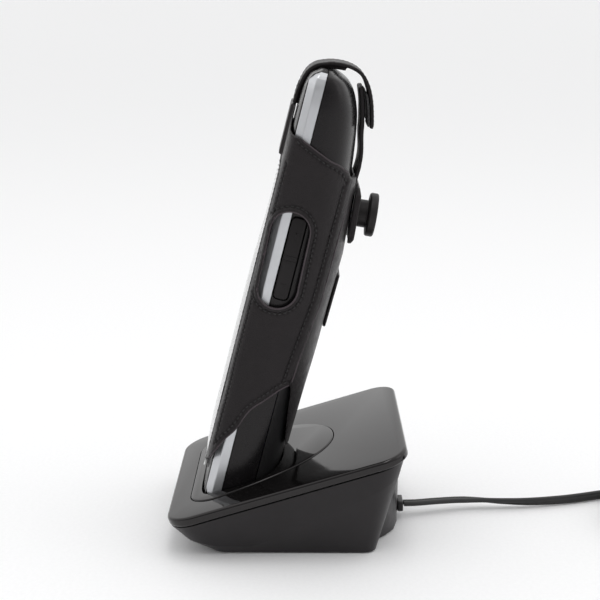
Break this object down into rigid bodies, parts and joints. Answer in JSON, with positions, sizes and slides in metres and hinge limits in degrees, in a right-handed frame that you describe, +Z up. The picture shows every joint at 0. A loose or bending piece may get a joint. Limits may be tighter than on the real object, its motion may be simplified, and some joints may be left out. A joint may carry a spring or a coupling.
{
  "type": "cordless phone with charging base",
  "caption": "Slim cordless handset in an open-sided leather case with a closing strap and belt stud, standing in a sloping charging base with a plug-in lead and adapter.",
  "frame": {"origin": "centre of the base's outline, on the surface it stands on", "axes": "+Z up, the keypad faces -Y, the lead leaves towards +Y, the volume key is on the +X side"},
  "size_m": [0.075, 0.2695, 0.1546],
  "materials": {
    "gloss_black": "high gloss",
    "satin_black": "fine matt",
    "key_black": "satin",
    "leather_black": "smooth, fine grain",
    "tape_black": "hook and loop pile",
    "silver": "satin",
    "rubber_black": "matt",
    "steel": "satin",
    "gold": "plated",
    "circuit_green": "laminate",
    "clear": "clear",
    "cell_blue": "film",
    "key_green": "satin",
    "key_red": "satin"
  },
  "bodies": {
    "base": {"base_housing": "satin_black", "base_top_plate": "gloss_black", "cradle_insert": "gloss_black", "base_bottom_cover": "satin_black", "rubber_foot_1": "rubber_black", "rubber_foot_2": "rubber_black", "rubber_foot_3": "rubber_black", "rubber_foot_4": "rubber_black", "base_screw_left": "steel", "base_screw_right": "steel", "ballast_weight": "steel", "base_circuit_board": "circuit_green", "power_socket": "satin_black", "cord_plug": "satin_black", "power_cord": "rubber_black", "cord_coil": "rubber_black", "cord_tie": "rubber_black", "adapter_lead": "rubber_black", "adapter_strain_relief": "rubber_black", "power_adapter": "satin_black", "adapter_pin_block": "steel"},
    "handset": {"front_shell": "gloss_black", "rear_shell": "satin_black", "battery_cover": "satin_black", "side_trim_right": "silver", "side_trim_left": "silver", "display_lens": "clear", "display_module": "clear", "main_circuit_board": "circuit_green", "battery_pack": "cell_blue", "earpiece_speaker": "steel", "microphone": "steel", "charge_pad_left": "gold", "charge_pad_right": "gold", "case_sleeve": "leather_black", "case_window_film": "clear", "case_back_tab": "leather_black", "tab_loop_tape": "tape_black", "stud_patch": "leather_black", "belt_stud": "satin_black"},
    "strap": {"case_strap": "leather_black", "strap_hook_tape": "tape_black"},
    "volume_key": {"volume_rocker": "key_black"},
    "left_pin": {"charge_pin_left": "gold"},
    "right_pin": {"charge_pin_right": "gold"},
    "key_star_cap": {"key_star": "key_black"},
    "key_0_cap": {"key_0": "key_black"},
    "key_hash_cap": {"key_hash": "key_black"},
    "key_7_cap": {"key_7": "key_black"},
    "key_8_cap": {"key_8": "key_black"},
    "key_9_cap": {"key_9": "key_black"},
    "key_4_cap": {"key_4": "key_black"},
    "key_5_cap": {"key_5": "key_black"},
    "key_6_cap": {"key_6": "key_black"},
    "key_1_cap": {"key_1": "key_black"},
    "key_2_cap": {"key_2": "key_black"},
    "key_3_cap": {"key_3": "key_black"},
    "call_key_cap": {"call_key": "key_green"},
    "end_key_cap": {"end_key": "key_red"},
    "navigation_key_cap": {"navigation_key": "key_black"}
  },
  "joints": [
    {"name": "handset_lift", "type": "slide", "parent": "base", "child": "handset", "axis": [0, 0.2462, 0.9692], "range_m": [0, 0.12]},
    {"name": "strap_hinge", "type": "hinge", "parent": "handset", "child": "strap", "pos_m": [0, 0.00142, 0.14237], "axis": [1, 0, 0], "range_deg": [0, 100]},
    {"name": "volume_rock", "type": "hinge", "parent": "handset", "child": "volume_key", "pos_m": [0.0235, 0.00106, 0.09579], "axis": [0, 0.9692, -0.2462], "range_deg": [-2.5, 2.5], "stiffness_Nm_per_rad": 0.05},
    {"name": "left_pin_travel", "type": "slide", "parent": "base", "child": "left_pin", "axis": [0, -0.2462, -0.9692], "range_m": [0, 0.0008], "stiffness_N_per_m": 300, "springref_m": -0.0005},
    {"name": "right_pin_travel", "type": "slide", "parent": "base", "child": "right_pin", "axis": [0, -0.2462, -0.9692], "range_m": [0, 0.0008], "stiffness_N_per_m": 300, "springref_m": -0.0005},
    {"name": "key_star_press", "type": "slide", "parent": "handset", "child": "key_star_cap", "axis": [0, 0.9692, -0.2462], "range_m": [0, 0.0004], "stiffness_N_per_m": 600, "springref_m": -0.0002},
    {"name": "key_0_press", "type": "slide", "parent": "handset", "child": "key_0_cap", "axis": [0, 0.9692, -0.2462], "range_m": [0, 0.0004], "stiffness_N_per_m": 600, "springref_m": -0.0002},
    {"name": "key_hash_press", "type": "slide", "parent": "handset", "child": "key_hash_cap", "axis": [0, 0.9692, -0.2462], "range_m": [0, 0.0004], "stiffness_N_per_m": 600, "springref_m": -0.0002},
    {"name": "key_7_press", "type": "slide", "parent": "handset", "child": "key_7_cap", "axis": [0, 0.9692, -0.2462], "range_m": [0, 0.0004], "stiffness_N_per_m": 600, "springref_m": -0.0002},
    {"name": "key_8_press", "type": "slide", "parent": "handset", "child": "key_8_cap", "axis": [0, 0.9692, -0.2462], "range_m": [0, 0.0004], "stiffness_N_per_m": 600, "springref_m": -0.0002},
    {"name": "key_9_press", "type": "slide", "parent": "handset", "child": "key_9_cap", "axis": [0, 0.9692, -0.2462], "range_m": [0, 0.0004], "stiffness_N_per_m": 600, "springref_m": -0.0002},
    {"name": "key_4_press", "type": "slide", "parent": "handset", "child": "key_4_cap", "axis": [0, 0.9692, -0.2462], "range_m": [0, 0.0004], "stiffness_N_per_m": 600, "springref_m": -0.0002},
    {"name": "key_5_press", "type": "slide", "parent": "handset", "child": "key_5_cap", "axis": [0, 0.9692, -0.2462], "range_m": [0, 0.0004], "stiffness_N_per_m": 600, "springref_m": -0.0002},
    {"name": "key_6_press", "type": "slide", "parent": "handset", "child": "key_6_cap", "axis": [0, 0.9692, -0.2462], "range_m": [0, 0.0004], "stiffness_N_per_m": 600, "springref_m": -0.0002},
    {"name": "key_1_press", "type": "slide", "parent": "handset", "child": "key_1_cap", "axis": [0, 0.9692, -0.2462], "range_m": [0, 0.0004], "stiffness_N_per_m": 600, "springref_m": -0.0002},
    {"name": "key_2_press", "type": "slide", "parent": "handset", "child": "key_2_cap", "axis": [0, 0.9692, -0.2462], "range_m": [0, 0.0004], "stiffness_N_per_m": 600, "springref_m": -0.0002},
    {"name": "key_3_press", "type": "slide", "parent": "handset", "child": "key_3_cap", "axis": [0, 0.9692, -0.2462], "range_m": [0, 0.0004], "stiffness_N_per_m": 600, "springref_m": -0.0002},
    {"name": "call_key_press", "type": "slide", "parent": "handset", "child": "call_key_cap", "axis": [0, 0.9692, -0.2462], "range_m": [0, 0.0004], "stiffness_N_per_m": 600, "springref_m": -0.0002},
    {"name": "end_key_press", "type": "slide", "parent": "handset", "child": "end_key_cap", "axis": [0, 0.9692, -0.2462], "range_m": [0, 0.0004], "stiffness_N_per_m": 600, "springref_m": -0.0002},
    {"name": "navigation_key_press", "type": "slide", "parent": "handset", "child": "navigation_key_cap", "axis": [0, 0.9692, -0.2462], "range_m": [0, 0.0004], "stiffness_N_per_m": 600, "springref_m": -0.0002}
  ]
}
